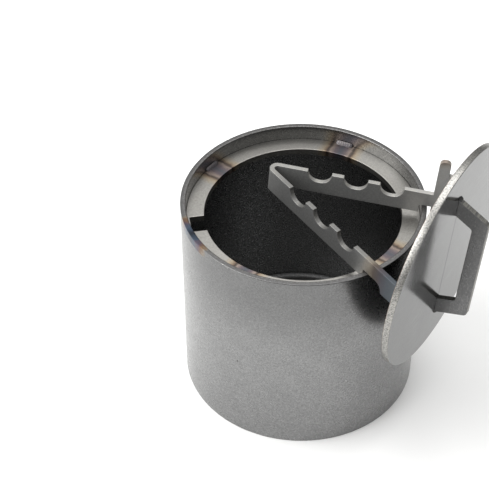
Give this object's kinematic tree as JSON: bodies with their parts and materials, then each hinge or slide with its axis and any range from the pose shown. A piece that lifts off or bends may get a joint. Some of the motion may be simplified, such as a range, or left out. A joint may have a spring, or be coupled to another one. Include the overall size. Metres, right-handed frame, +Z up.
{
  "type": "lidded ashtray",
  "caption": "Steel tube ashtray with an inner ledge; its loose disc lid is parked on the rim by a V-shaped strip with cigarette rests, and has a flat grip handle.",
  "frame": {"origin": "centre of the cup's foot, on the surface it stands on", "axes": "+Z up along the cup's axis; +X from the cup's axis towards the parked lid disc"},
  "size_m": [0.1155, 0.0888, 0.1239],
  "materials": {
    "raw_tube": "raw mill tube, dull and slightly mottled",
    "cut_plate": "cut plate, satin, with heat tint beside the welds",
    "satin_plate": "satin plate that mirrors the handle softly",
    "flat_bar": "dark flat bar with bright cut edges",
    "weld_bead": "weld bead tinted by heat"
  },
  "bodies": {
    "cup": {"tube_wall": "raw_tube", "base_plate": "cut_plate", "base_weld_seam": "weld_bead", "ledge_ring": "cut_plate", "ledge_weld_1": "weld_bead", "ledge_weld_2": "weld_bead", "ledge_weld_3": "weld_bead", "ledge_weld_4": "weld_bead"},
    "lid": {"lid_disc": "satin_plate", "rest_strip": "flat_bar", "strip_weld_far": "weld_bead", "strip_weld_near": "weld_bead", "handle_plate": "cut_plate", "handle_weld_upper": "weld_bead", "handle_weld_lower": "weld_bead"}
  },
  "joints": [
    {"name": "lid_lift", "type": "slide", "parent": "cup", "child": "lid", "axis": [0, 0, 1], "range_m": [0, 0.07]}
  ]
}
